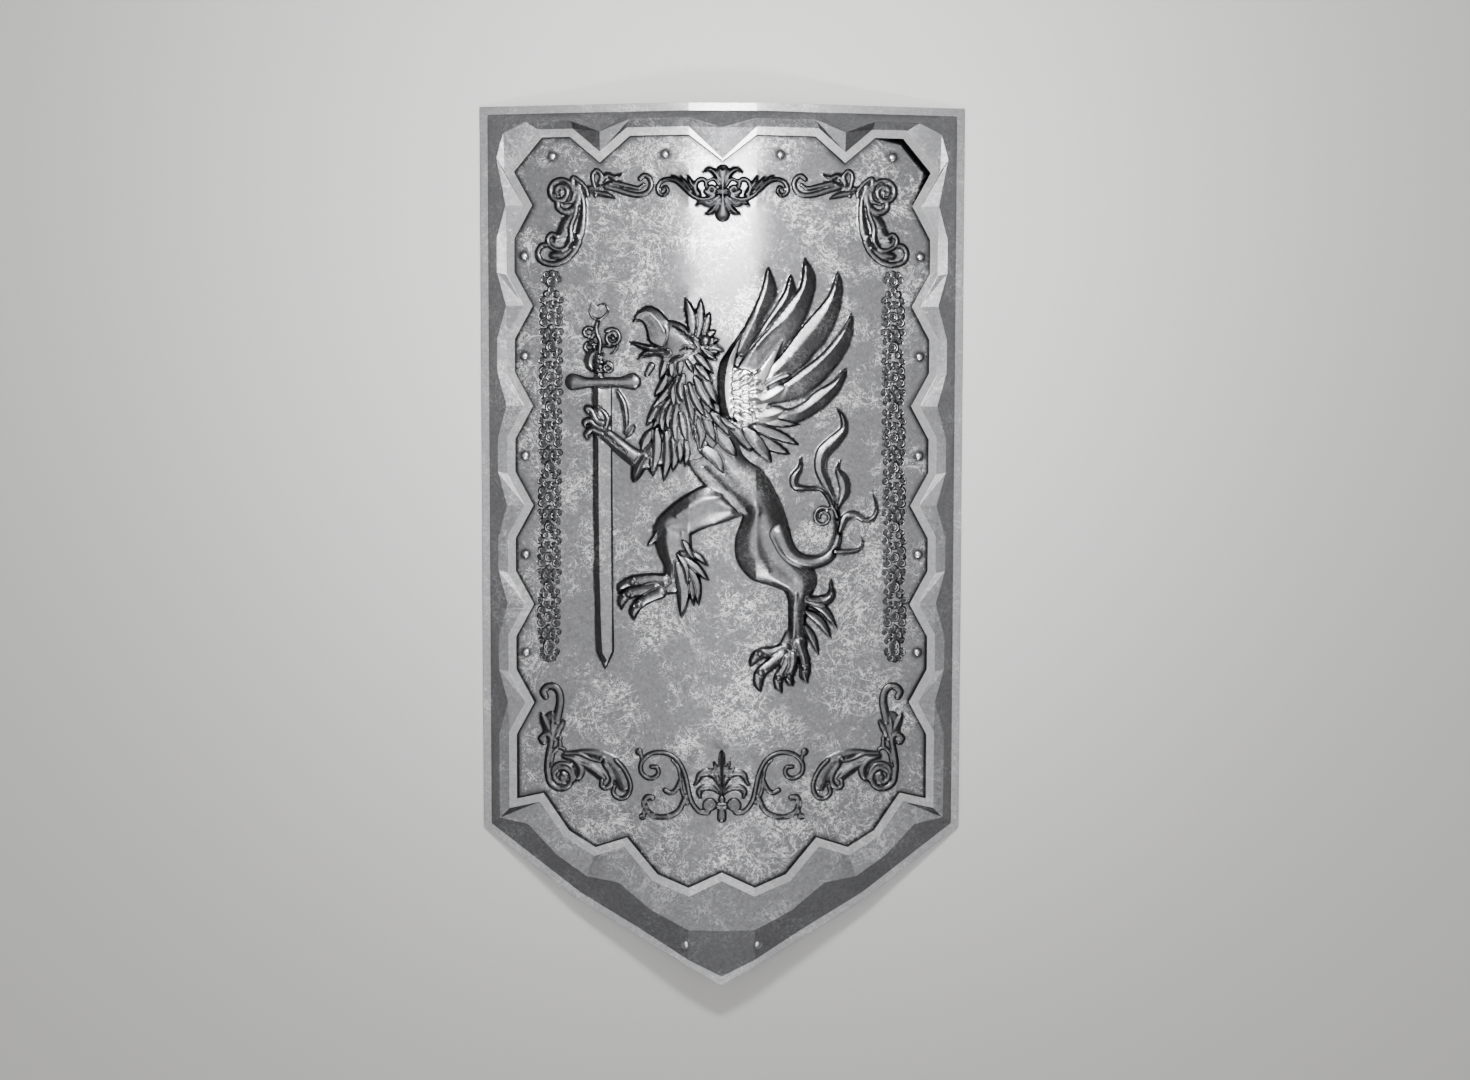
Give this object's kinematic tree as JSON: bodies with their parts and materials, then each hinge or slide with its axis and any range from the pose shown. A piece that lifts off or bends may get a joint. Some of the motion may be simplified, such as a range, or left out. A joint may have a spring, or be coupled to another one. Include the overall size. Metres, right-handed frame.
{
  "type": "tower shield",
  "caption": "Tall steel tower shield with a pointed foot, a scalloped rim, embossed griffin and sword, scroll ornaments, rivets and a bow grip.",
  "frame": {"origin": "middle of the shield's bounding box on the plane that its two long side edges rest on", "axes": "+X to the right seen from the front, +Y along the height towards the top edge, +Z out of the front face"},
  "size_m": [0.61, 1.108, 0.0645],
  "materials": {
    "rim_steel": "pressed sheet steel, worn, brighter on lip and inner strip",
    "field_steel": "embossed sheet steel with mottled pale patina and scratches",
    "rivet_steel": "domed rivets, rubbed bright",
    "grip_steel": "forged round bar, dark"
  },
  "bodies": {
    "root": {"rim": "rim_steel", "field_plate": "field_steel", "grip": "grip_steel", "field_rivet_01": "rivet_steel", "field_rivet_02": "rivet_steel", "field_rivet_03": "rivet_steel", "field_rivet_04": "rivet_steel", "field_rivet_05": "rivet_steel", "field_rivet_06": "rivet_steel", "field_rivet_07": "rivet_steel", "field_rivet_08": "rivet_steel", "field_rivet_09": "rivet_steel", "field_rivet_10": "rivet_steel", "field_rivet_11": "rivet_steel", "field_rivet_12": "rivet_steel", "field_rivet_13": "rivet_steel", "field_rivet_14": "rivet_steel", "tip_rivet_1": "rivet_steel", "tip_rivet_2": "rivet_steel"}
  },
  "joints": []
}
